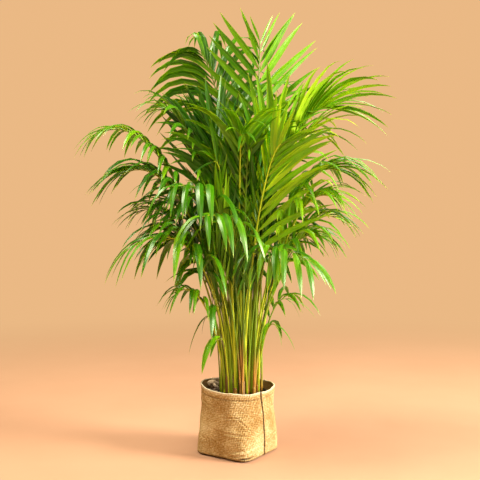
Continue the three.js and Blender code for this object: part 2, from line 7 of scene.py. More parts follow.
from dataclasses import dataclass
from math import cos, degrees, exp, hypot, pi, radians, sin, sqrt
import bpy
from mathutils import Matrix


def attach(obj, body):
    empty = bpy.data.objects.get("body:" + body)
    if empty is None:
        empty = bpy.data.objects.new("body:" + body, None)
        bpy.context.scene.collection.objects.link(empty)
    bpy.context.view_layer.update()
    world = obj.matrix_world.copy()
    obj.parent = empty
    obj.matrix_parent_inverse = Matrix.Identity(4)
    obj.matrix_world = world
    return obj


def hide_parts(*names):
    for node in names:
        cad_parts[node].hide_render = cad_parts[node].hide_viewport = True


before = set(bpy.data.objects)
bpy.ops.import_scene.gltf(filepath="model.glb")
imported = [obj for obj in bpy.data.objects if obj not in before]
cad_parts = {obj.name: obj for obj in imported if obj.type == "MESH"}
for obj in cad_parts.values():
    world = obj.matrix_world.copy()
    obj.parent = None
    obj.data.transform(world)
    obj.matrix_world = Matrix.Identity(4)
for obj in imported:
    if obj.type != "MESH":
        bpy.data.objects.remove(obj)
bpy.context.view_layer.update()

from types import SimpleNamespace

import bpy
from mathutils import Vector, noise

# ---------------- driving dimensions

MM = 0.001

BAG_HEIGHT = 177.75 * MM  # the mean height of the wavy rim
BAG_RIM_RADIUS = 97.5 * MM
BAG_HALF_SIDE = 84.5 * MM  # the rounded-square base, from its middle to a side
BAG_SQUARENESS = 7  # exponent of the outline at the base, where 2 is a circle
BAG_ROUNDING = 3  # how soon the square turns round on the way up
BAG_WIDENING = 0.85  # how soon the sides move out to the rim
BAG_FACING = -34
BAG_WALL = 3 * MM
BAG_FLOOR = 4 * MM
HEM_SHARE = 0.9
HEM_PROUD = 0.8 * MM
HEM_GROOVE = 1.5 * MM

SEAM_RIM_ANGLE = -52
SEAM_BASE_ANGLE = -33
SEAM_LAP = 9 * MM  # the width of the overlap
SEAM_PROUD = 1.3 * MM
SEAM_GROOVE = 3.0 * MM
SEAM_GAP = 3.4 * MM  # the width of the darkened line of painted shade beside the overlap

TUCK_FROM, TUCK_TO = -90, -64  # where round the bag the slit at the base's front corner runs
TUCK_LOW, TUCK_HIGH = 9 * MM, 13 * MM  # its height at both ends
TUCK_GAP = 2.4 * MM  # half its width
TUCK_DEPTH = 5 * MM

FOOT_SHADE, HEM_SHADE, SLIT_SHADE = 0.9, 0.4, 0.95  # how much painted shade darkens the cloth there: a contact shadow at the foot, shade in the hem's groove and in the slits

# Rows of the cloth, each with its share of the height and its inset in millimetres.
FOOT_ROWS = [(0.0, 12.0), (0.012, 7.0), (0.023, 3.2), (0.034, 1.2)]
LINING_ROWS = [(0.985, 0), (0.96, 0), (0.93, 0), (0.9, 0), (0.87, 0), (0.8, 0), (0.4, 0), (0.03, 1)]
WALL_LOW, WALL_HIGH = 0.045, 0.985  # between the foot and the rolled rim
WALL_ROWS = 90
SEAM_COLUMNS = [0.0, 0.2, 0.5, 0.9, 1.4, 2.0, 2.7, 3.5, 4.4, 5.4, 6.6, 8.0]  # degrees from the seam
COLUMNS = 200  # in the rest of the way round
LINING_RELIEF = 0.3  # the share of the face's relief that shows inside
LINING_SHIFT = 400 * MM  # keeps the lining's pattern from being the face's

WEAVE_PITCH = 4.4 * MM
HEM_STITCHES = 84
FIBRES = 240

SOIL_TOP = 156 * MM
SOIL_FLAT_RADIUS = 65 * MM
SOIL_SETTLING = 0.11  # how steeply it falls beyond that
SOIL_RISE = 3 * MM  # towards the back left
SOIL_INSET = 4.6 * MM  # from the bag's outer face
SOIL_SIDES = 120
SOIL_RINGS = 40  # on its top

CHIP_CORNERS = 7
CHIPS = 12  # the places of the solid's large chips
CHIP_RING = 62, 80  # their distances from the bag's middle
CHIP_EDGE = 67.2 * MM  # nearer to the clump's middle than this there is none
CHIP_SIZE = (8, 14), (5, 8), (2.2, 3.6)  # half the length, width and thickness, each from and to
CHIP_PROUD = 0.45  # the share of the half thickness that the middle lies above the soil
CHIP_TILT, HEAP_TILT, SMALL_CHIP_TILT = 0.5, 1.6, 0.9
HEAP = 28  # flakes at the back left, up to the rim
HEAP_TURNS = 112, 174
HEAP_NEAR, HEAP_FAR = (56, 70), 82  # from the bag's middle, the near ones at its foot and top
HEAP_LIFT = 1, 25
HEAP_SIZE = (6, 11), (4, 7), (2.0, 3.4)
# painted light: the heap's flakes are drawn paler, as if lit
HEAP_PAINTED_LIGHT = 0.7
SMALL_CHIPS = 170
SMALL_CHIP_SIZE = 2.0, 7.5
SMALL_CHIP_REACH = 88 * MM, 91 * MM  # how far out their middles and their ends go

CLUMP = Vector((9 * MM, 0, 0))  # its middle

STALK_FOOT_RADIUS = 3.7 * MM
STALK_TIP_RADIUS = 1.5 * MM
SHOOTS = 4  # young fronds beside each cane
HUSK_HEIGHT = 26, 70
HUSK_TURN = 320  # how far round the foot a husk goes

LEAFLET_WIDEST = 18 * MM
LEAFLET_SLENDERNESS = 0.092
LEAFLET_THICKNESS = 0.5 * MM
LEAFLET_STEPS = 12
LEAFLET_STATIONS = (0, 1, 2, 3, 4, 6, 8, 10, 11)  # the steps that get a section
LEAFLET_MIDDLE = 5  # the step whose direction the blade is laid square to
# Its section: places across it, each with its share of the fold's height.
LEAFLET_TOP = [(-1, 0.0), (-0.5, 0.62), (0, 1.0), (0.5, 0.62), (1, 0.0)]
LEAFLET_UNDER = LEAFLET_TOP[3:0:-1]

UP = Vector((0, 0, 1))


@dataclass
class Frond:
    """One frond; its lengths are in millimetres.

    `to` is the way that it leans, `reach` how far its tip stands from the clump's middle, `tip` the tip's
    height and `arch` how far its pull stands above the tip. `leaf` is its longest leaflet, `droop` the
    leaflets' sag, `bare` the share of the stalk below them, `pairs` their number in the solid, and `tone`
    its colour, from deep green (0) to yellow-green (1); the tone is partly the frond's own colour and
    partly painted light, set lighter on fronds that stand in light and deeper on fronds that stand in
    shade.
    `fill` is 0 where no more pairs stand between the solid's, and `face` the way that its back looks, where
    it doesn't look the way it leans. `rise` and `elbow` say how straight the stalk goes up and how near the
    clump it turns, `fall` how much shorter the leaflets get towards the tip, `broad` how wide they are and
    `splay` how far they spread.
    """

    to: float
    reach: float
    tip: float
    arch: float
    leaf: float
    droop: float
    bare: float
    pairs: int
    tone: float
    fill: int = 1
    face: float = None
    rise: float = 0.5
    elbow: float = 0.55
    fall: float = 1
    broad: float = 1
    splay: float = 1


# Each cane: the angle and the distance in millimetres of its foot from the clump's middle, and its fronds.
CANES = [
    # the middle: the tallest and most upright
    (0, 14, [
        Frond(-42, 65, 1074, -190, 232, 0.12, 0.68, 9, 0.5, fill=0, face=-90,
              elbow=0.95, fall=1.05, broad=1.1, splay=1.1),
        Frond(8, 236, 912, 15, 265, 0.9, 0.5, 8, 0.7, face=-25, fall=0.5, splay=0.34)]),
    (120, 14, [
        Frond(164, 112, 1062, -150, 285, 1.5, 0.6, 8, 0.3, face=-100, elbow=0.1, fall=1.1, splay=0.68),
        Frond(80, 140, 950, 20, 230, 0.8, 0.5, 4, 0.35)]),
    (240, 14, [
        Frond(-153, 92, 850, -50, 240, 0.15, 0.46, 7, 0.1, face=-100, splay=0.5),
        Frond(-90, 150, 820, 30, 220, 1, 0.5, 5, 0.45, splay=0.7)]),
    (60, 8, [
        Frond(200, 60, 770, -30, 240, 0.2, 0.42, 4, 0.15, face=-60, splay=0.6),
        Frond(30, 110, 800, -20, 240, 0.3, 0.42, 4, 0.6, face=-60, splay=0.6)]),
    (300, 10, [Frond(-60, 85, 690, -20, 230, 0.3, 0.42, 4, 0.2, splay=0.7)]),
    # the first ring
    (25, 30, [
        Frond(45, 210, 895, 30, 230, 0.9, 0.48, 5, 0.45),
        Frond(25, 245, 850, 50, 260, 1.1, 0.46, 6, 0.8, splay=0.7)]),
    (77, 30, [
        Frond(92, 210, 790, 80, 220, 1.2, 0.45, 3, 0.4),
        Frond(100, 90, 920, 0, 240, 0.6, 0.5, 4, 0.3)]),
    (128, 30, [
        Frond(122, 200, 890, 40, 220, 1, 0.5, 4, 0.4),
        Frond(140, 270, 690, 90, 220, 1.4, 0.45, 4, 0.4)]),
    (180, 30, [
        Frond(168, 228, 908, 55, 190, 1.4, 0.5, 7, 0.42),
        Frond(165, 132, 862, -20, 240, 0.3, 0.46, 5, 0.12, face=-90, splay=0.55)]),
    (205, 33, [Frond(-177, 378, 835, 98, 160, 1.8, 0.53, 8, 0.55, fall=0.7)]),
    (231, 30, [
        Frond(-133, 240, 695, 20, 190, 3, 0.5, 6, 0.28, fill=0,
              rise=0.9, elbow=0.3, fall=0.6, broad=1.15),
        Frond(-173, 308, 732, 80, 235, 1.6, 0.48, 7, 0.22, fall=0.8, splay=0.75)]),
    (283, 30, [
        Frond(-113, 235, 622, 20, 190, 3, 0.48, 6, 0.45, fill=0,
              rise=0.9, elbow=0.3, fall=0.6, broad=1.15),
        Frond(-56, 172, 800, -30, 228, 0.5, 0.42, 8, 0.68, face=-112, splay=0.85)]),
    (335, 30, [
        Frond(6, 265, 745, 50, 255, 1.5, 0.47, 7, 0.52, fall=0.8, splay=0.7),
        Frond(-30, 110, 870, -20, 240, 0.3, 0.45, 5, 0.55, face=-60, splay=0.65)]),
    # the outer ring: low and arching
    (8, 44, [
        Frond(-15, 240, 672, 50, 215, 1.45, 0.46, 7, 0.65, splay=0.75),
        Frond(12, 135, 395, 45, 160, 1.7, 0.52, 3, 0.5),
        Frond(-20, 102, 330, 50, 140, 2.6, 0.6, 2, 0.5, fill=0)]),
    (40, 44, [
        Frond(40, 250, 560, 90, 205, 1.5, 0.43, 5, 0.4),
        Frond(8, 268, 615, 65, 200, 1.5, 0.45, 5, 0.55, splay=0.75)]),
    (72, 44, [Frond(66, 255, 630, 90, 215, 1.5, 0.45, 4, 0.3)]),
    (103, 44, [Frond(100, 265, 540, 90, 215, 1.6, 0.43, 3, 0.3)]),
    (137, 44, [
        Frond(146, 240, 550, 80, 210, 1.6, 0.43, 5, 0.32),
        Frond(158, 250, 650, 70, 205, 1.5, 0.45, 5, 0.3)]),
    (172, 44, [
        Frond(170, 285, 630, 80, 185, 1.5, 0.46, 5, 0.38),
        Frond(178, 235, 580, 70, 200, 1.5, 0.45, 5, 0.35)]),
    (197, 44, [
        Frond(-170, 215, 550, 80, 210, 1.6, 0.45, 4, 0.36),
        Frond(-161, 178, 422, 60, 145, 2.2, 0.5, 4, 0.42),
        Frond(-174, 92, 356, 50, 170, 2.9, 0.7, 2, 0.3, fill=0, broad=1.2)]),
    (224, 44, [
        Frond(-156, 285, 552, 80, 225, 2.6, 0.47, 6, 0.4, fill=0,
              rise=0.65, elbow=0.45, fall=0.55, broad=1.15),
        Frond(-134, 86, 306, 20, 142, 2.9, 0.84, 1, 0.55, fill=0,
              elbow=0.3, broad=1.6, splay=0.3)]),
    (250, 44, [Frond(-124, 120, 760, 20, 220, 0.8, 0.47, 5, 0.25, face=-90, splay=0.7)]),
    (275, 44, [Frond(-80, 115, 790, 20, 210, 0.7, 0.45, 5, 0.4, splay=0.7)]),
    (320, 44, [
        Frond(-52, 250, 520, 65, 152, 2.6, 0.5, 7, 0.4, fill=0,
              rise=0.9, elbow=0.02, fall=0.15, broad=1.3),
        Frond(-10, 215, 567, 60, 200, 1.8, 0.45, 5, 0.5)]),
]

# Sideways steps of the stalks that would meet another one, by cane number and the way the frond leans.
SWAYS = {(7, 100): 4, (20, -170): 1, (20, -174): -4}

# ---------------- small helpers


def mix(a, b, share):
    return a + (b - a) * share


def clamp(value, low=0.0, high=1.0):
    return max(low, min(high, value))


def ease(value):
    """A smooth step from 0 to 1."""
    value = clamp(value)
    return value * value * (3 - 2 * value)


def polar(turn, radius=1.0, height=0.0):
    a = radians(turn)
    return Vector((radius * cos(a), radius * sin(a), height))


def wrapped(turn):
    """The same angle, from -180 to 180."""
    return (turn + 180) % 360 - 180


def square_to(vector, axis):
    """The part of `vector` square to `axis`, as a unit vector."""
    return (vector - axis * vector.dot(axis)).normalized()


def stream(seed):
    """A seeded stream of numbers, from 0 to 1 or between two limits."""
    state = (seed * 7919 + 12345) % 2**32

    def draw(low=0.0, high=1.0):
        nonlocal state
        state = (state * 1664525 + 1013904223) % 2**32
        return mix(low, high, state / 2**32)

    for _ in range(3):
        draw()
    return draw


def put(name, data):
    """A new object, linked to the scene."""
    made = bpy.data.objects.new(name, data)
    bpy.context.scene.collection.objects.link(made)
    return made


class Maker:
    """Gathers lofts into one mesh, with a vector for the material at every point."""

    def __init__(self):
        self.points, self.faces, self.face_slots = [], [], []
        self.notes, self.sharp = {}, set()

    def add(self, point, **notes):
        self.points.append(point)
        for name, value in notes.items():
            self.notes.setdefault(name, {})[len(self.points) - 1] = value
        return len(self.points) - 1

    def face(self, corners, slot=0):
        self.faces.append(corners)
        self.face_slots.append(slot)

    def wall(self, low, high, slot=0, turned=False):
        """Four-cornered faces between two open rows."""
        for i in range(len(low) - 1):
            corners = (low[i], low[i + 1], high[i + 1], high[i])
            self.face(corners[::-1] if turned else corners, slot)

    def fan(self, ring, middle, slot=0, turned=False):
        """Three-cornered faces from a ring to a point."""
        for a, b in zip(ring, ring[1:] + ring[:1]):
            self.face((b, a, middle) if turned else (a, b, middle), slot)

    def skin(self, rings, slot=0, creases=()):
        """Walls between rings, where the last may be a point; the creases are numbers of points."""
        for low, high in zip(rings, rings[1:]):
            if len(high) == 1:
                self.fan(low, high[0], slot)
            else:
                self.wall(low + low[:1], high + high[:1], slot)
            for i in creases:
                self.sharp.add(frozenset((low[i], high[i % len(high)])))

    def loft(self, rings, slot=0, creases=()):
        """A skin that is closed at both ends."""
        self.skin(rings, slot, creases)
        self.face(tuple(reversed(rings[0])), slot)
        if len(rings[-1]) > 1:
            self.face(tuple(rings[-1]), slot)

    def build(self, name, materials, smooth=True):
        data = bpy.data.meshes.new(name)
        data.from_pydata([tuple(p) for p in self.points], [], self.faces)
        for material in materials:
            data.materials.append(material)
        data.polygons.foreach_set("material_index", self.face_slots)
        data.polygons.foreach_set("use_smooth", [smooth] * len(self.faces))
        for note, values in self.notes.items():
            flat = [number for i in range(len(self.points)) for number in values.get(i, (0, 0, 0))]
            data.attributes.new(note, "FLOAT_VECTOR", "POINT").data.foreach_set("vector", flat)
        if self.sharp:
            sharp = [frozenset(edge.vertices) in self.sharp for edge in data.edges]
            data.attributes.new("sharp_edge", "BOOLEAN", "EDGE").data.foreach_set("value", sharp)
        data.update()
        made = put(name, data)
        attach(made, "root")
        return made


# ---------------- materials


class Nodes:
    """A material's node tree, with a short call for each kind of node."""

    def __init__(self, name, roughness=0.6, **sockets):
        self.material = bpy.data.materials.new(name)
        self.material.use_nodes = True
        self.tree = self.material.node_tree
        self.shader = self.tree.nodes["Principled BSDF"]
        self.shader.inputs["Roughness"].default_value = roughness
        for socket, value in sockets.items():
            self.shader.inputs[socket.replace("_", " ")].default_value = value

    def node(self, kind, inputs=None, **settings):
        made = self.tree.nodes.new(kind)
        for key, value in settings.items():
            setattr(made, key, value)
        for key, value in (inputs or {}).items():
            if isinstance(value, bpy.types.NodeSocket):
                self.tree.links.new(value, made.inputs[key])
            else:
                made.inputs[key].default_value = value
        return made

    def note(self, name):
        """A point attribute as its three numbers."""
        vector = self.node("ShaderNodeAttribute", attribute_name=name).outputs["Vector"]
        split = self.node("ShaderNodeSeparateXYZ", {0: vector})
        return [split.outputs[i] for i in range(3)]

    def math(self, operation, *values):
        return self.node("ShaderNodeMath", dict(enumerate(values)), operation=operation).outputs[0]

    def times(self, first, second):
        return self.math("MULTIPLY", first, second)

    def span(self, value, from_low, from_high, to_low=0.0, to_high=1.0):
        """`value` carried from one span to another, and kept inside it."""
        inputs = {0: value, 1: from_low, 2: from_high, 3: to_low, 4: to_high}
        return self.node("ShaderNodeMapRange", inputs, interpolation_type="SMOOTHSTEP").outputs[0]

    def noise(self, vector, scale, detail=4.0, roughness=0.55):
        inputs = {"Vector": vector, "Scale": scale, "Detail": detail, "Roughness": roughness}
        return self.node("ShaderNodeTexNoise", inputs).outputs["Fac"]

    def ramp(self, value, *stops):
        """A run of colours; each stop is its place and its red, green and blue."""
        made = self.node("ShaderNodeValToRGB", {0: value})
        elements = made.color_ramp.elements
        while len(elements) < len(stops):
            elements.new(0.5)
        for element, (place, *colour) in zip(elements, stops):
            element.position = place
            element.color = (*colour, 1.0)
        return made.outputs[0]

    def blend(self, share, first, second):
        """A mix of two colours, each a socket or three numbers."""
        inputs = {0: share}
        for socket, colour in ((6, first), (7, second)):
            inputs[socket] = colour if isinstance(colour, bpy.types.NodeSocket) else (*colour, 1.0)
        return self.node("ShaderNodeMix", inputs, data_type="RGBA").outputs[2]

    def tint(self, share, most, first, second):
        """A mix of two colours, where the second one gets no more than `most`."""
        return self.blend(self.times(share, most), first, second)

    def weigh(self, *terms):
        """The sum of values, each times its weight."""
        total = self.times(*terms[0])
        for term in terms[1:]:
            total = self.math("ADD", total, self.times(*term))
        return total

    def swing(self, value, size, middle=0.5):
        """How far `value` lies from the middle, times `size`."""
        return self.times(self.math("SUBTRACT", value, middle), size)

    def combine(self, x, y, z):
        return self.node("ShaderNodeCombineXYZ", {0: x, 1: y, 2: z}).outputs[0]

    def object_place(self, scale=(1, 1, 1)):
        place = self.node("ShaderNodeTexCoord").outputs["Object"]
        return self.node("ShaderNodeMapping", {"Vector": place, "Scale": scale}).outputs[0]

    def finish(self, colour, bump=None, distance=MM, strength=1.0, roughness=None):
        self.tree.links.new(colour, self.shader.inputs["Base Color"])
        if roughness is not None:
            self.tree.links.new(roughness, self.shader.inputs["Roughness"])
        if bump is not None:
            inputs = {"Height": bump, "Distance": distance, "Strength": strength}
            normal = self.node("ShaderNodeBump", inputs).outputs[0]
            self.tree.links.new(normal, self.shader.inputs["Normal"])
        return self.material


LEAF_ENDS = (0.42, 0.44, 0.03)  # the colour of a leaflet's tip and root


def leaf_material():
    """A glossy strap leaf: the note `leaf` holds the place along it, the place across it and a draw."""
    n = Nodes("leaf", Specular_IOR_Level=0.45, Specular_Tint=(0.9, 1.0, 0.75, 1), Subsurface_Weight=0.3,
              Subsurface_Scale=2 * MM, Subsurface_Radius=(0.7, 1.0, 0.05))
    along, across, chance = n.note("leaf")
    tone, _, _ = n.note("tone")
    mottled = n.noise(n.combine(n.times(along, 6.0), across, n.times(chance, 40.0)), 1.6)
    # the frond's tone, partly painted light, with random mottling
    shade = n.math("ADD", tone, n.math("ADD", n.swing(chance, 0.34), n.swing(mottled, 0.25)))
    green = n.ramp(
        shade,
        (0.0, 0.005, 0.044, 0.0),
        (0.35, 0.033, 0.148, 0.0),
        (0.65, 0.126, 0.315, 0.001),
        (1.0, 0.42, 0.54, 0.006),
    )
    rib = n.span(n.math("ABSOLUTE", across), 0.1, 0.0)
    green = n.tint(rib, 0.3, green, (0.35, 0.5, 0.05))
    tip = n.span(n.math("ADD", along, n.swing(mottled, 0.15)), 0.86, 1.02)
    green = n.tint(tip, 0.45, green, LEAF_ENDS)
    green = n.tint(n.span(along, 0.1, 0.0), 0.6, green, LEAF_ENDS)
    veins = n.math("SINE", n.times(across, 34.0))
    rough = n.span(mottled, 0.3, 0.7, 0.27, 0.38)
    return n.finish(green, bump=veins, distance=0.05 * MM, strength=0.2, roughness=rough)


def stalk_material():
    """A smooth stalk, ochre near the soil: the note `stalk` holds the height in metres and a draw."""
    n = Nodes("stalk", roughness=0.4, Specular_IOR_Level=0.5)
    height, chance, _ = n.note("stalk")
    tone, _, _ = n.note("tone")
    streaks = n.noise(n.object_place((1, 1, 0.06)), 420)
    # the frond's tone, partly painted light, tints the stalk too
    green = n.ramp(
        n.weigh((tone, 0.2), (streaks, 0.35), (chance, 0.4)),
        (0.12, 0.018, 0.07, 0.0),
        (0.36, 0.15, 0.25, 0.002),
        (0.6, 0.47, 0.52, 0.01),
    )
    low = n.math("ADD", height, n.swing(chance, 0.3, middle=0.25))
    ochre = n.ramp(streaks, (0.3, 0.13, 0.055, 0.014), (0.55, 0.42, 0.17, 0.022), (0.75, 0.5, 0.36, 0.05))
    colour = n.blend(n.span(low, 0.27, 0.16), green, ochre)
    specks = n.noise(n.object_place(), 900, detail=2.0)
    colour = n.tint(n.span(specks, 0.66, 0.72), 0.5, colour, (0.05, 0.035, 0.012))
    return n.finish(colour, bump=streaks, distance=0.3 * MM, strength=0.5)


def husk_material():
    """The dry fibrous sheath round a stem's foot."""
    n = Nodes("husk", roughness=0.8)
    fibres = n.noise(n.object_place((1, 1, 0.08)), 700)
    colour = n.ramp(fibres, (0.3, 0.07, 0.03, 0.012), (0.5, 0.25, 0.12, 0.035), (0.7, 0.5, 0.32, 0.1))
    return n.finish(colour, bump=fibres, distance=0.5 * MM)


def jute_material(name, inside_shade=0.0):
    """Coarse plain weave. The share after the name is how far painted shade darkens it to a deep brown, for
    the bag's inside.

    The note `cloth` holds the place round the bag, the height and the painted shade; `edge` is 1 on the
    rim, where a painted highlight lightens the cloth.
    """
    n = Nodes(name, roughness=0.92, Specular_IOR_Level=0.06, Sheen_Weight=0.12, Sheen_Roughness=0.6,
              Sheen_Tint=(1.0, 0.78, 0.42, 1))
    u, v, shaded = n.note("cloth")
    edge, _, _ = n.note("edge")
    turns = pi / WEAVE_PITCH
    wander_u = n.swing(n.noise(n.combine(u, v, 0.0), 55), 1.4 * MM)
    wander_v = n.swing(n.noise(n.combine(v, u, 3.0), 45), 2.0 * MM)
    sine_u = n.math("SINE", n.times(n.math("ADD", u, wander_u), turns))
    sine_v = n.math("SINE", n.times(n.math("ADD", v, wander_v), turns))
    over = n.span(n.times(sine_u, sine_v), -0.22, 0.22)
    warp = n.times(n.math("ABSOLUTE", sine_u), over)
    weft = n.times(n.math("ABSOLUTE", sine_v), n.math("SUBTRACT", 1.0, over))
    threads = n.math("ADD", warp, weft)
    slubs_u = n.noise(n.combine(n.times(u, 0.3), v, 0.0), 420, detail=3.0)
    slubs_v = n.noise(n.combine(u, n.times(v, 0.3), 5.0), 420, detail=3.0)
    fuzz = n.weigh((slubs_u, 0.5), (slubs_v, 0.5))
    rows = n.noise(n.combine(n.times(u, 0.2), v, 7.0), 190, detail=2.0)
    patches = n.noise(n.combine(u, v, 9.0), 18, detail=6.0)
    straw = n.ramp(
        n.weigh((fuzz, 0.68), (patches, 0.32)),
        (0.36, 0.28, 0.135, 0.032),
        (0.46, 0.44, 0.26, 0.08),
        (0.54, 0.61, 0.445, 0.2),
        (0.66, 0.86, 0.73, 0.47),
    )
    straw = n.tint(n.span(rows, 0.45, 0.34), 0.2, straw, (0.38, 0.2, 0.05))
    # painted shade in the gaps between the threads
    gaps = n.times(n.span(threads, 0.55, 0.1), n.span(patches, 0.6, 0.4, 0.45, 0.95))
    straw = n.blend(gaps, straw, (0.09, 0.036, 0.008))
    # a painted highlight along the rolled rim
    straw = n.tint(edge, 0.6, straw, (0.96, 0.86, 0.62))
    # painted shade: the foot's contact shadow, the hem's groove and the slits of the seam and the tuck
    straw = n.blend(shaded, straw, (0.03, 0.011, 0.002))
    # the inside's copy is darkened further by painted shade
    if inside_shade:
        straw = n.blend(inside_shade, straw, (0.2, 0.095, 0.02))
    height = n.weigh((threads, 1.0), (fuzz, 0.8), (rows, 0.3))
    return n.finish(straw, bump=height, distance=1.2 * MM)


def thread_material():
    """Twisted sewing thread."""
    n = Nodes("thread", roughness=0.85, Specular_IOR_Level=0.1)
    twist = n.noise(n.object_place(), 1500, detail=2.0)
    colour = n.ramp(twist, (0.35, 0.045, 0.022, 0.009), (0.65, 0.14, 0.07, 0.025))
    return n.finish(colour, bump=twist, distance=0.2 * MM)


def soil_material():
    """Dark damp compost."""
    n = Nodes("soil", roughness=0.95)
    grains = n.noise(n.object_place(), 300, detail=8.0, roughness=0.7)
    colour = n.ramp(
        grains,
        (0.35, 0.01, 0.006, 0.004),
        (0.55, 0.032, 0.018, 0.01),
        (0.75, 0.1, 0.055, 0.03),
    )
    return n.finish(colour, bump=grains, distance=2 * MM)


def bark_material():
    """Grey-brown bark flakes, each of its own shade: the note `bark` holds a draw, raised by painted light
    on the heap's flakes.
    """
    n = Nodes("bark", roughness=0.85)
    chance, _, _ = n.note("bark")
    grain = n.noise(n.object_place((1, 0.35, 2)), 260, detail=6.0, roughness=0.65)
    colour = n.ramp(
        n.weigh((grain, 0.7), (chance, 0.35)),
        (0.3, 0.035, 0.018, 0.01),
        (0.5, 0.13, 0.075, 0.043),
        (0.7, 0.3, 0.2, 0.13),
        (0.85, 0.78, 0.58, 0.38),
    )
    return n.finish(colour, bump=grain, distance=1.2 * MM)


def film_material():
    """Thin black film, creased."""
    n = Nodes("film", roughness=0.45)
    creases = n.noise(n.object_place(), 45, detail=6.0, roughness=0.7)
    colour = n.ramp(creases, (0.3, 0.012, 0.012, 0.012), (0.7, 0.035, 0.034, 0.032))
    return n.finish(colour, bump=creases, distance=2 * MM, roughness=n.span(creases, 0.3, 0.7, 0.35, 0.55))


def floor_material():
    """A pale floor that fades into the background far from the plant."""
    n = Nodes("studio_floor", roughness=0.85, Specular_IOR_Level=0.0, Emission_Color=(*BACKDROP, 1))
    place = n.object_place()
    colour = n.ramp(n.noise(place, 3.0), (0.3, 0.5, 0.275, 0.165), (0.7, 0.53, 0.295, 0.18))
    away = n.node("ShaderNodeVectorMath", {0: place}, operation="LENGTH").outputs["Value"]
    faded = n.span(away, 0.35, 3.0)
    n.tree.links.new(n.times(faded, BACKDROP_GLOW), n.shader.inputs["Emission Strength"])
    return n.finish(n.blend(faded, colour, (0.0, 0.0, 0.0)))


# ---------------- the bag


def rim_height(turn):
    """The height of the rim, which waves: highest on the left, lowest at the front."""
    a = radians(turn)
    return BAG_HEIGHT + MM * (-3 * cos(a) + 1.5 * sin(a) + 3.25 * cos(2 * a))


def bag_radius(turn, share):
    """A rounded square at the base (share 0) that turns into the round rim (share 1)."""
    squareness = 2 + (BAG_SQUARENESS - 2) * (1 - share) ** BAG_ROUNDING
    half_side = mix(BAG_HALF_SIDE, BAG_RIM_RADIUS, share**BAG_WIDENING)
    a = radians(turn - BAG_FACING)
    total = abs(cos(a)) ** squareness + abs(sin(a)) ** squareness
    return half_side / total ** (1 / squareness)


def rim_wave(turn):
    """The small dips and kinks of the soft rim, in metres."""
    place = polar(turn)
    return MM * (2.2 * noise.noise(place * 2.6) + 1.4 * noise.noise(place * 7.5))


def seam_angle(share):
    return mix(SEAM_BASE_ANGLE, SEAM_RIM_ANGLE, share)


# Soft creases in the fabric: turn and share of the height at both ends, half width and depth.
CREASES = [
    (-118, 0.62, -72, 0.66, 2.2, 0.9),
    (-94, 0.66, -74, 0.5, 2.0, 1.3),
    (-84, 0.56, -62, 0.38, 2.0, 1.2),
    (-138, 0.43, -60, 0.37, 3.0, 1.0),
    (-100, 0.14, -62, 0.22, 3.6, 1.2),
    (-104, 0.06, -72, 0.13, 3.2, 1.5),
    (-168, 0.8, -126, 0.74, 3.4, 0.9),
    (-170, 0.3, -128, 0.24, 3.4, 0.8),
    (-30, 0.75, 10, 0.7, 3.0, 0.9),
    (-38, 0.28, 5, 0.31, 3.0, 0.9),
    (30, 0.62, 90, 0.58, 2.8, 0.9),
    (60, 0.36, 130, 0.42, 2.8, 1.0),
    (100, 0.2, 150, 0.15, 3.0, 1.0),
    (120, 0.76, 190, 0.72, 2.8, 0.8),
]


def crease_depth(turn, share):
    """How far the fabric dips or rises at a place, in metres."""
    total = 0.0
    for turn_a, share_a, turn_b, share_b, width, depth in CREASES:
        x = radians(wrapped(turn - turn_a)) * BAG_RIM_RADIUS
        y = (share - share_a) * BAG_HEIGHT
        run_x = radians(turn_b - turn_a) * BAG_RIM_RADIUS
        run_y = (share_b - share_a) * BAG_HEIGHT
        length = hypot(run_x, run_y)
        t = clamp((x * run_x + y * run_y) / length**2)
        away = hypot(x - t * run_x, y - t * run_y) / (width * MM)
        if away < 4:
            fade = sin(pi * clamp(t, 0.04, 0.96)) ** 0.5
            total += depth * MM * fade * (0.7 * exp(-((away - 1.6) ** 2)) - exp(-away * away))
    return total


def cloth_relief(turn, share):
    """All that the outer face stands out from the plain shell, in metres."""
    place = polar(turn, 3.2, share * 5)
    ribs = polar(turn, 1.6, share * 22)
    fade = ease(share / 0.06) * ease((1 - share) / 0.06)
    soft = 2.4 * noise.noise(place) + 0.25 * noise.noise(ribs) + 0.5 * noise.noise(place * 3.1)
    hem = HEM_PROUD * ease((share - HEM_SHARE) / 0.02)
    folds = 1.5 * crease_depth(turn, share) * fade - TUCK_DEPTH * tuck(turn, share)
    return hem + MM * soft * fade - HEM_GROOVE * hem_line(turn, share) + folds


def hem_line(turn, share):
    """How deep a place lies in the wandering groove under the turned hem, from 0 to 1."""
    wander = 1.6 * noise.noise(polar(turn, 2.5, 7))
    away = (share - HEM_SHARE) * BAG_HEIGHT / MM - wander
    return exp(-((away / 1.7) ** 2))


def tuck(turn, share):
    """How deep a place lies in the short slit where the base's front corner is folded, from 0 to 1."""
    along = clamp((wrapped(turn) - TUCK_FROM) / (TUCK_TO - TUCK_FROM))
    middle = mix(TUCK_LOW, TUCK_HIGH, along)
    away = (share * BAG_HEIGHT - middle) / TUCK_GAP
    return sin(pi * along) ** 0.5 * exp(-(away**2))


def seam_relief(offset):
    """The overlap seam's profile at a distance to the right of its open edge: (relief, how shaded)."""
    if offset < 0:
        depth = exp(-((offset / SEAM_GAP) ** 2))
        return -SEAM_GROOVE * depth, SLIT_SHADE * depth
    lip = SEAM_PROUD * (1 - 0.35 * ease(offset / SEAM_LAP))
    return lip * (1 - ease((offset - SEAM_LAP) / (5 * MM))), 0.0


def bag_columns():
    """Turns round the bag from the seam on, close together beside it."""
    near = SEAM_COLUMNS[-1]
    middle = [mix(near, 360 - near, i / COLUMNS) for i in range(1, COLUMNS)]
    return SEAM_COLUMNS + middle + [360 - turn for turn in reversed(SEAM_COLUMNS[1:])]


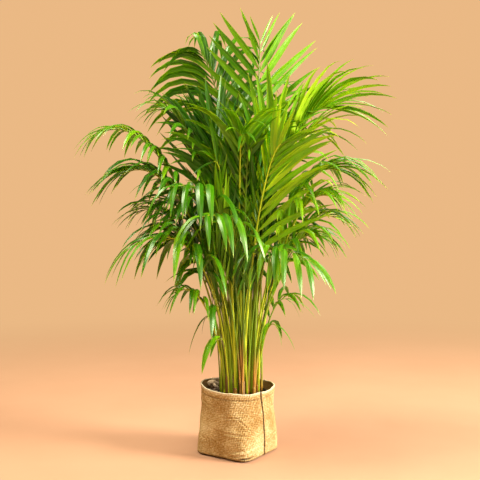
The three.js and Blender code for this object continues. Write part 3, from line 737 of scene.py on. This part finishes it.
def bag_shell(material, lining):
    """The fabric shell: over the base, up the outside, over the rolled rim and down the inside."""
    made = Maker()
    columns = bag_columns()

    def ring(share, inset, lift=0.0, inside=False):
        points = []
        for column in columns:
            turn = seam_angle(share) + column
            plain = bag_radius(turn, share)
            relief = cloth_relief(turn, share)
            height = wall_height(turn, share) + lift
            if inside:
                radius = plain - BAG_WALL - inset + LINING_RELIEF * relief
                v, shade, rim = height + LINING_SHIFT, 0.0, 0.0
            else:
                seam, seam_shade = seam_relief(radians(wrapped(column)) * plain)
                radius = plain + relief + seam - inset
                # painted shade: a contact shadow along the foot, and shade in the hem's groove, the seam's
                # line and the tuck's slit
                foot = FOOT_SHADE * ease(1.3 - share / 0.035)
                hem, slit = HEM_SHADE * hem_line(turn, share), SLIT_SHADE * tuck(turn, share)
                shade = max(seam_shade, foot, hem, slit)
                # the rolled rim, where a painted highlight lightens the cloth
                v, rim = height, ease((share + lift / BAG_HEIGHT - 0.955) / 0.04)
            u = radians(column) * BAG_RIM_RADIUS
            points.append(made.add(polar(turn, radius, height), cloth=(u, v, shade), edge=(rim, 0, 0)))
        return points

    wall = [(mix(WALL_LOW, WALL_HIGH, i / WALL_ROWS), 0) for i in range(WALL_ROWS + 1)]
    outside = [ring(share, inset * MM) for share, inset in FOOT_ROWS + wall]
    lip = (BAG_WALL + HEM_PROUD) / 2
    for step in range(-1, 6):
        angle = pi * step / 6
        inset = lip * (1 - 1.25 * cos(angle))
        outside.append(ring(WALL_HIGH, inset, lip * (0.9 * sin(angle) + 0.5)))
    within = [ring(share, inset * MM, inside=True) for share, inset in LINING_ROWS]
    made.skin(outside + within[:1])
    made.skin(within, 1)
    # painted shade at the middle of the base, outside and inside
    made.fan(outside[0], made.add(UP * 0.6 * MM, cloth=(0.1, 0.1, 0.6)), turned=True)
    made.fan(within[-1], made.add(UP * BAG_FLOOR, cloth=(0.1, 0.1, 0.6)), 1)
    return made.build("jute_bag", [material, lining])


def wall_height(turn, share):
    """The height of a place on the wall, with the soft waves near the rim."""
    return share * rim_height(turn) + rim_wave(turn) * ease((share - 0.8) / 0.18)


def outer_face(turn, share, out):
    """A point at a distance from the bag's outer face."""
    radius = bag_radius(turn, share) + cloth_relief(turn, share) + out
    return polar(turn, radius, wall_height(turn, share))


def tube(made, path, radii, sides, **notes):
    """A closed tube along points, with a radius for each."""
    rings, side = [], None
    for i, point in enumerate(path):
        tangent = (path[min(i + 1, len(path) - 1)] - path[max(i - 1, 0)]).normalized()
        side = square_to(side or (UP if abs(tangent.z) < 0.9 else Vector((1, 0, 0))), tangent)
        other = tangent.cross(side)
        ring = []
        for k in range(sides):
            a = 2 * pi * k / sides
            corner = point + side * radii[i] * cos(a) + other * radii[i] * sin(a)
            ring.append(made.add(corner, **notes))
        rings.append(ring)
    made.loft(rings)


def stitch(made, turn, share, reach, bow, sunk, radius, steps, slope=0.0, swell=1.0):
    """A stitch with its ends sunk in. `reach` is degrees, and the three after it are millimetres."""
    path = []
    for i in range(steps):
        t = i / (steps - 1)
        out = MM * (bow * sin(pi * t) ** swell - sunk)
        path.append(outer_face(turn + mix(-reach, reach, t), share + slope * (t - 0.5), out))
    tube(made, path, [radius * MM] * steps, steps)


def seam_stitches(material):
    """The stitches across the seam's open edge, unevenly drawn tight."""
    made = Maker()
    draw = stream(31)
    share = 0.05
    while share < 0.93:
        reach = degrees(draw(1.6, 3.4) * MM / BAG_RIM_RADIUS)
        slope = draw(-0.012, 0.012)
        radius = draw(0.5, 0.95)
        stitch(made, seam_angle(share), share, reach, 1.5, 0.6, radius, 6, slope=slope, swell=0.6)
        share += draw(0.045, 0.075)
    return made.build("seam_stitches", [material])


def hem_stitches(material):
    """The row of small stitches that holds the turned hem."""
    made = Maker()
    draw = stream(47)
    for i in range(HEM_STITCHES):
        turn = 360 / HEM_STITCHES * (i + 0.3 * draw())
        share = HEM_SHARE + 0.012 + 0.004 * draw()
        stitch(made, turn, share, draw(0.8, 1.08), 0.55, 0.3, 0.3, 5)
    return made.build("hem_stitches", [material])


def loose_fibres(material):
    """Short stray fibres of jute along the rim and down the face."""
    made = Maker()
    draw = stream(59)
    for i in range(FIBRES):
        turn = 360 * draw()
        share = 0.988 if i % 3 == 0 else draw(0.05, 0.97)
        start = outer_face(turn, share, -0.3 * MM)
        out = polar(turn + draw(-50, 50))
        rise = UP * draw(-0.6, 0.9)
        length = draw(2.0, 5.0) * MM
        curl = polar(turn + 90) * draw(-0.5, 0.5)
        way = out * 0.55 + rise
        path = [start + (way + curl * t) * length * t for t in (0, 0.35, 0.7, 1.0)]
        radii = [0.12 * MM, 0.11 * MM, 0.09 * MM, 0.05 * MM]
        tube(made, path, radii, 3, cloth=(0.3 * draw(), 0.2 * draw(), 0.0))
    return made.build("loose_fibres", [material])


# ---------------- the soil


def soil_top(x, y):
    """The height of the soil's loose top, highest at the back left."""
    ripple = sin(x / MM * 0.19 + y / MM * 0.11) + sin(y / MM * 0.23 - x / MM * 0.07)
    settled = SOIL_SETTLING * max(0.0, hypot(x, y) - SOIL_FLAT_RADIUS)
    return SOIL_TOP + 0.7 * MM * ripple + SOIL_RISE * max(0.0, (y - x) / (120 * MM)) - settled


def on_soil(spot, lift):
    """The point at a height over the soil's top."""
    return Vector((spot.x, spot.y, soil_top(spot.x, spot.y) + lift))


def soil_bed(material):
    """The root ball, with a crumbly top."""
    made = Maker()

    def ring(share, scale, height=None):
        points = []
        for i in range(SOIL_SIDES):
            turn = 360 / SOIL_SIDES * i
            p = polar(turn, (bag_radius(turn, share) - SOIL_INSET) * scale)
            lumps = 2.2 * noise.noise(p / (7 * MM)) + 1.2 * noise.noise(p / (3 * MM))
            p.z = height if height is not None else soil_top(p.x, p.y) + MM * lumps
            points.append(made.add(p))
        return points

    rings = [ring(0.03, 0.98, BAG_FLOOR + 1.6 * MM)]
    rings += [ring(share, 1.0, share * BAG_HEIGHT) for share in (0.2, 0.5, 0.8)]
    rings += [ring(SOIL_TOP / BAG_HEIGHT, 1 - i / SOIL_RINGS) for i in range(SOIL_RINGS)]
    made.loft(rings + [[made.add(on_soil(Vector(), 0))]])
    return made.build("root_ball", [material])


def flake(made, middle, half, yaw, tilt, draw, painted_light=0.0):
    """A rough many-faced flake of bark."""
    long = polar(yaw, 1.0, tilt * (draw() - 0.5))
    cross = polar(yaw + 90, 1.0, tilt * (draw() - 0.5))
    outline = []
    for i in range(CHIP_CORNERS):
        a = 2 * pi * (i + 0.6 * (draw() - 0.5)) / CHIP_CORNERS
        outline.append((cos(a) * draw(0.75, 1.1), sin(a) * draw(0.7, 1.1)))
    # painted light makes the heap's flakes paler, as if lit
    shade = draw() + painted_light
    rings = []
    for height, shrink in ((-1.0, 0.8), (-0.4, 1.0), (0.5, 0.97), (1.0, 0.78)):
        points = []
        for u, v in outline:
            wobble = draw(0.9, 1.1)
            lift = height * half[2] * draw(0.8, 1.2)
            corner = middle + (long * u * half[0] + cross * v * half[1]) * shrink * wobble + UP * lift
            points.append(made.add(corner, bark=(shade, 0, 0)))
        rings.append(points)
    made.loft(rings)


def bark_chips(material):
    """Bark flakes: the solid's few large ones at the same places, and small ones all over the soil."""
    made = Maker()
    draw = stream(11)
    for i in range(CHIPS):
        turn = 360 / CHIPS * (i + 0.7 * draw())
        spot = polar(turn, draw(*CHIP_RING) * MM)
        if hypot(spot.x - CLUMP.x, spot.y) > CHIP_EDGE:
            half = [draw(*span) * MM for span in CHIP_SIZE]
            yaw = draw() * 360
            for _ in range(10):  # the solid draws its chip's tilt and corners here
                draw()
            flake(made, on_soil(spot, half[2] * CHIP_PROUD), half, yaw, CHIP_TILT, stream(200 + i))
    draw = stream(29)
    for i in range(HEAP):
        level = i / HEAP
        spot = polar(draw(*HEAP_TURNS), draw(mix(*HEAP_NEAR, level), HEAP_FAR) * MM)
        half = [draw(*span) * MM for span in HEAP_SIZE]
        middle = on_soil(spot, mix(*HEAP_LIFT, level) * MM)
        flake(made, middle, half, draw() * 360, HEAP_TILT, draw, HEAP_PAINTED_LIGHT)
    draw = stream(83)
    for i in range(SMALL_CHIPS):
        radius = SMALL_CHIP_REACH[0] * sqrt(draw())
        spot = polar(360 * draw(), radius)
        size = mix(*SMALL_CHIP_SIZE, draw() ** 2)
        half = [size * MM, size * draw(0.45, 0.8) * MM, size * draw(0.25, 0.4) * MM]
        half[0] = min(half[0], SMALL_CHIP_REACH[1] - radius)
        middle = on_soil(spot, half[2] * draw(0.3, 1.4))
        flake(made, middle, half, 360 * draw(), SMALL_CHIP_TILT, draw)
    return made.build("bark_chips", [material], smooth=False)


# ---------------- the canes


class Stalk:
    """The smooth curve of a frond's stalk, swayed sideways by a number of small steps."""

    def __init__(self, foot, frond, sway=0, girth=1):
        self.girth = girth
        self.back = polar(frond.to if frond.face is None else frond.face)
        tip = CLUMP + polar(frond.to, frond.reach * MM)
        lean = tip - foot
        aside = polar(frond.to).cross(UP) * MM * sway
        pull = (frond.tip + frond.arch) * MM
        self.poles = [
            foot + UP * (SOIL_TOP + 2 * MM),
            foot + lean * 0.06 + UP * mix(SOIL_TOP, pull, frond.rise) + aside * 4,
            foot + lean * frond.elbow + UP * pull + aside * 10,
            foot + lean + UP * frond.tip * MM,
        ]

    def at(self, share):
        a, b, c, d = self.poles
        s = 1 - share
        return a * s**3 + b * 3 * s * s * share + c * 3 * s * share * share + d * share**3

    def tangent(self, share):
        a, b, c, d = self.poles
        s = 1 - share
        return ((b - a) * s * s + (c - b) * 2 * s * share + (d - c) * share * share).normalized()

    def axes(self, share):
        """Its direction, its side and its top at a place."""
        tangent = self.tangent(share)
        side = square_to(self.back.cross(UP), tangent)
        return tangent, side, side.cross(tangent)

    def radius(self, share):
        return self.girth * mix(STALK_TIP_RADIUS, STALK_FOOT_RADIUS, (1 - share) ** 1.2)


def leaflet_width(share):
    """The share of a leaflet's full width at a share of its length: a narrow root, then a long point."""
    root = 0.1
    swell = root + (1 - root) * sin(min(1.0, share / 0.35) * pi / 2)
    return swell * (1 - max(0.0, (share - 0.35) / 0.65) ** 2.1)


def leaflet_of(frond, pair, side, draw, chance):
    """A leaflet of a pair, whose number is a half for one between two of the solid's.

    Its rank is 0 for the lowest and 1 for the one at the tip, and its angles are degrees.
    """
    rank = (pair + (0.35 if side > 0 else 0)) / (frond.pairs - 0.65)
    spread = min(frond.droop, 3)
    return SimpleNamespace(
        side=side,
        rank=rank,
        angle=frond.splay * (44 + 3 * spread - (26 - 2 * spread) * rank**1.4 + 8 * (draw() - 0.5)),
        lift=22 + 12 * (draw() - 0.5),
        length=frond.leaf * MM * (1 - frond.fall * (rank - 0.2) ** 2) * draw(0.93, 1.07),
        droop=frond.droop * draw(0.8, 1.2),
        twist=chance(-26, 26),
        bend=chance(-0.12, 0.12),
        chance=chance(),
    )


def leaflets_of(frond, seed):
    """The solid's leaflets, and the ones that stand between them."""
    draw, chance = stream(seed), stream(seed + 5000)
    pairs = [(pair, draw) for pair in range(frond.pairs)]
    if frond.fill:
        pairs += [(pair + 0.5, chance) for pair in range(frond.pairs - 1)]
    return [leaflet_of(frond, pair, side, own, chance) for pair, own in pairs for side in (-1, 1)]


def leaflet_course(stalk, frond, leaf):
    """Points and directions along a leaflet, and its width vector."""
    share = mix(frond.bare, 1, leaf.rank * 0.985)
    tangent, across, top = stalk.axes(share)
    angle, lift = radians(leaf.angle), radians(leaf.lift)
    outward = across * leaf.side * cos(lift) + top * sin(lift)
    start = (tangent * cos(angle) + outward * sin(angle)).normalized()
    edge = square_to(tangent, start) * leaf.side
    points, directions = [stalk.at(share)], []
    for i in range(LEAFLET_STEPS + 1):
        u = i / LEAFLET_STEPS
        sideways = edge * leaf.bend * sin(pi * u)
        direction = (start - UP * leaf.droop * u**1.25 + sideways).normalized()
        directions.append(direction)
        if i > 0:
            points.append(points[-1] + direction * (leaf.length / LEAFLET_STEPS))
    middle = directions[LEAFLET_MIDDLE]
    level = UP.cross(middle).normalized()
    if level.dot(edge) < 0:
        level.negate()
    return points, directions, square_to(edge.lerp(level, 0.3), middle)


def add_leaflet(made, stalk, frond, leaf):
    """A folded strap leaf from a narrow root to a long point."""
    points, directions, width = leaflet_course(stalk, frond, leaf)
    full = min(LEAFLET_WIDEST, leaf.length * LEAFLET_SLENDERNESS) * frond.broad
    tone = (frond.tone, 0, 0)
    rings = []
    for step in LEAFLET_STATIONS:
        u = step / LEAFLET_STEPS
        direction = directions[step]
        normal = width.cross(direction).normalized()
        if normal.z < 0:
            normal.negate()
        across = square_to(width, direction)
        twist = radians(leaf.twist) * ease(u) * 0.8
        side = across * cos(twist) + normal * sin(twist)
        out = normal * cos(twist) - across * sin(twist)
        half = leaflet_width(u) * full / 2
        fold = half * mix(0.75, 0.3, ease(u / 0.5))
        ring = []
        for places, sunk in ((LEAFLET_TOP, 0.0), (LEAFLET_UNDER, LEAFLET_THICKNESS * mix(1, 0.5, u))):
            for place, height in places:
                corner = points[step] + side * place * half + out * (height * fold - sunk)
                ring.append(made.add(corner, leaf=(u, place, leaf.chance), tone=tone))
        rings.append(ring)
    rings.append([made.add(points[-1], leaf=(1.0, 0.0, leaf.chance), tone=tone)])
    made.loft(rings, creases=(0, 2, 4, 6))


def add_stalk(made, stalk, frond, draw):
    """A frond's stalk: round below, with a flat face on its back above."""
    steps, sides = 30, 10
    tone = (frond.tone, 0, 0)
    rings = []
    for i in range(steps + 1):
        share = (i / steps) ** 1.15
        _, side, top = stalk.axes(share)
        radius = stalk.radius(share) * mix(1.0, 0.85, share)
        ring = []
        for k in range(sides):
            a = 2 * pi * (k + 0.5) / sides
            flat = 1 - 0.35 * ease(share / 0.4) * max(0.0, sin(a))
            corner = stalk.at(share) + side * radius * cos(a) + top * radius * sin(a) * flat
            ring.append(made.add(corner, stalk=(corner.z, draw, 0), tone=tone))
        rings.append(ring)
    tip = stalk.at(1) + stalk.tangent(1) * 3 * MM
    rings.append([made.add(tip, stalk=(1, draw, 0), tone=tone)])  # green, as if it were a metre up
    made.loft(rings, 1)


def add_foot(made, foot, draw):
    """A cane's foot in the soil: it swells where the roots begin."""
    rings = []
    sides = 12
    for height, radius in ((-50, 3.5), (-20, 5.4), (-4, 5.6), (4, 5.2), (10, 4.9), (16, 4.4), (22, 4.0)):
        ring = []
        for k in range(sides):
            swell = 1 + 0.08 * sin(k * 2.1 + height * 0.7 + draw * 9)
            point = foot + polar(360 / sides * k, radius * MM * swell, SOIL_TOP + height * MM)
            ring.append(made.add(point, stalk=(point.z, draw, 0), tone=(0.4, 0, 0)))
        rings.append(ring)
    made.loft(rings, 1)


def add_husk(made, stalk, chance):
    """A dry sheath that wraps a foot, torn at its top."""
    height = chance(*HUSK_HEIGHT) * MM
    opening = 360 * chance()
    sides, rows = 14, 7
    outer, inner = [], []
    tear = [chance() for _ in range(sides + 1)]
    for shell, shrink in ((outer, 0.0), (inner, 0.35 * MM)):
        for row in range(rows + 1):
            t = row / rows
            points = []
            for k in range(sides + 1):
                t_here = t * mix(0.72, 1.0, tear[k])
                z = SOIL_TOP + mix(-6 * MM, height, t_here)
                axis = stalk.at(clamp((z - SOIL_TOP) / (stalk.poles[1].z - SOIL_TOP) / 3))
                radius = mix(6.0, 5.0, t) * MM + 1.6 * MM * t_here**3 - shrink
                around = polar(opening + 20 + HUSK_TURN * k / sides, radius, z)
                points.append(made.add(Vector((axis.x, axis.y, 0)) + around))
            shell.append(points)
    for row in range(rows):
        made.wall(outer[row], outer[row + 1], 2)
        made.wall(inner[row], inner[row + 1], 2, turned=True)
    made.wall(outer[-1], inner[-1], 2)
    made.wall(outer[0], inner[0], 2, turned=True)
    for k in (0, -1):
        made.wall([row[k] for row in outer], [row[k] for row in inner], 2, turned=k == -1)


def add_shoots(made, number, foot, angle, distance):
    """Young fronds beside a cane: thin, still upright and partly folded."""
    chance = stream(number * 53)
    for i in range(SHOOTS):
        start = foot + polar(360 * chance(), chance(7, 15) * MM)
        shoot = Frond(
            to=angle + chance(-45, 45), reach=distance + chance(5, 70),
            tip=chance(430, 760), arch=-60,
            leaf=chance(70, 190), droop=chance(0.05, 0.7),
            bare=chance(0.62, 0.85), pairs=3,
            tone=chance(0.05, 0.6), broad=0.6, splay=0.4)
        stalk = Stalk(start, shoot, girth=chance(0.45, 0.75))
        add_stalk(made, stalk, shoot, chance())
        for leaf in leaflets_of(shoot, 300 + number * 10 + i):
            add_leaflet(made, stalk, shoot, leaf)


def grow_cane(number, angle, distance, fronds, materials):
    """A whole cane: its foot, its stalks, their leaflets and its young shoots."""
    made = Maker()
    foot = CLUMP + polar(angle, distance * MM)
    chance = stream(number * 31)
    add_foot(made, foot, chance())
    for i, frond in enumerate(fronds):
        stalk = Stalk(foot, frond, SWAYS.get((number, frond.to), 0))
        add_stalk(made, stalk, frond, chance())
        if i == 0 and number % 2:
            add_husk(made, stalk, chance)
        for leaf in leaflets_of(frond, (number - 1) * 10 + i + 1):
            add_leaflet(made, stalk, frond, leaf)
    add_shoots(made, number, foot, angle, distance)
    piece = made.build(f"palm_{number:02d}", materials)
    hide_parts(f"cane_{number:02d}")


# ---------------- the studio

CAMERA_PLACE = Vector((0.0, -2.01, 0.614))
CAMERA_PITCH = 1.506  # degrees below the horizon
CAMERA_YAW = -0.18
CAMERA_LENS, CAMERA_SENSOR = 57.08, 36  # millimetres

BACKDROP = (0.87, 0.51, 0.245)
BACKDROP_GLOW = 0.95
AMBIENT = (0.8, 0.55, 0.21)
AMBIENT_GLOW = 0.32
FLOOR_RADIUS = 40.0
FLOOR_DROP = 0.2 * MM  # the floor lies this far below the bag

# Each light: its name, place, size, power and colour, and the height over the origin that it aims at.
LIGHTS = [
    ("key", (2.8, -1.05, 1.75), 1.1, 208, (1.0, 0.95, 0.82), 0.55),
    ("top", (-1.5, -0.3, 3.1), 1.4, 128, (1.0, 0.96, 0.8), 0.8),
    ("low", (3.1, -0.4, 0.8), 0.8, 92, (1.0, 0.97, 0.95), 0.08),
    ("gloss", (0.25, -2.5, 2.1), 0.9, 42, (1.0, 0.98, 0.88), 0.6),
    ("back", (1.6, 2.2, 2.6), 2.4, 42, (1.0, 0.93, 0.8), 0.55),
]


def place_camera():
    data = bpy.data.cameras.new("camera")
    data.lens, data.sensor_width = CAMERA_LENS, CAMERA_SENSOR
    camera = put("camera", data)
    camera.location = CAMERA_PLACE
    camera.rotation_euler = (radians(90 - CAMERA_PITCH), 0, radians(CAMERA_YAW))
    bpy.context.scene.camera = camera


def area_light(name, place, size, power, colour, aim):
    data = bpy.data.lights.new(name, "AREA")
    data.shape, data.size, data.energy, data.color = "DISK", size, power, colour
    light = put(name, data)
    light.location = place
    light.rotation_euler = (UP * aim - Vector(place)).to_track_quat("-Z", "Y").to_euler()


def studio():
    """A plain pale floor, soft light from the right, above, in front and behind, and an even background."""
    for light in LIGHTS:
        area_light(*light)
    world = bpy.data.worlds.new("studio")
    world.use_nodes = True
    tree = world.node_tree
    around, seen = tree.nodes["Background"], tree.nodes.new("ShaderNodeBackground")
    for light, colour, glow in ((around, AMBIENT, AMBIENT_GLOW), (seen, BACKDROP, BACKDROP_GLOW)):
        light.inputs["Color"].default_value = (*colour, 1)
        light.inputs["Strength"].default_value = glow
    path, choice = tree.nodes.new("ShaderNodeLightPath"), tree.nodes.new("ShaderNodeMixShader")
    for i, output in enumerate((path.outputs["Is Camera Ray"], around.outputs[0], seen.outputs[0])):
        tree.links.new(output, choice.inputs[i])
    tree.links.new(choice.outputs[0], tree.nodes["World Output"].inputs["Surface"])
    bpy.context.scene.world = world
    bpy.context.scene.view_settings.view_transform = "Standard"
    edge = [tuple(polar(a, FLOOR_RADIUS, -FLOOR_DROP)) for a in range(0, 360, 6)]
    data = bpy.data.meshes.new("floor")
    data.from_pydata(edge, [], [tuple(range(len(edge)))])
    data.materials.append(floor_material())
    put("floor", data)


# ---------------- the object


def dress():
    # the bag's inside: the same jute, darkened by painted shade
    jute, lining = jute_material("jute"), jute_material("jute_inside", inside_shade=0.75)
    bag = bag_shell(jute, lining)
    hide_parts("bag")
    for piece in (bag, loose_fibres(jute), seam_stitches(thread_material()), hem_stitches(jute)):
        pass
    bed = soil_bed(soil_material())
    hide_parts("soil")
    for piece in (bed, bark_chips(bark_material())):
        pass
    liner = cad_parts["liner"].data
    liner.materials.clear()
    liner.materials.append(film_material())
    materials = [leaf_material(), stalk_material(), husk_material()]
    for number, (angle, distance, fronds) in enumerate(CANES, 1):
        grow_cane(number, angle, distance, fronds, materials)


place_camera()
studio()
dress()
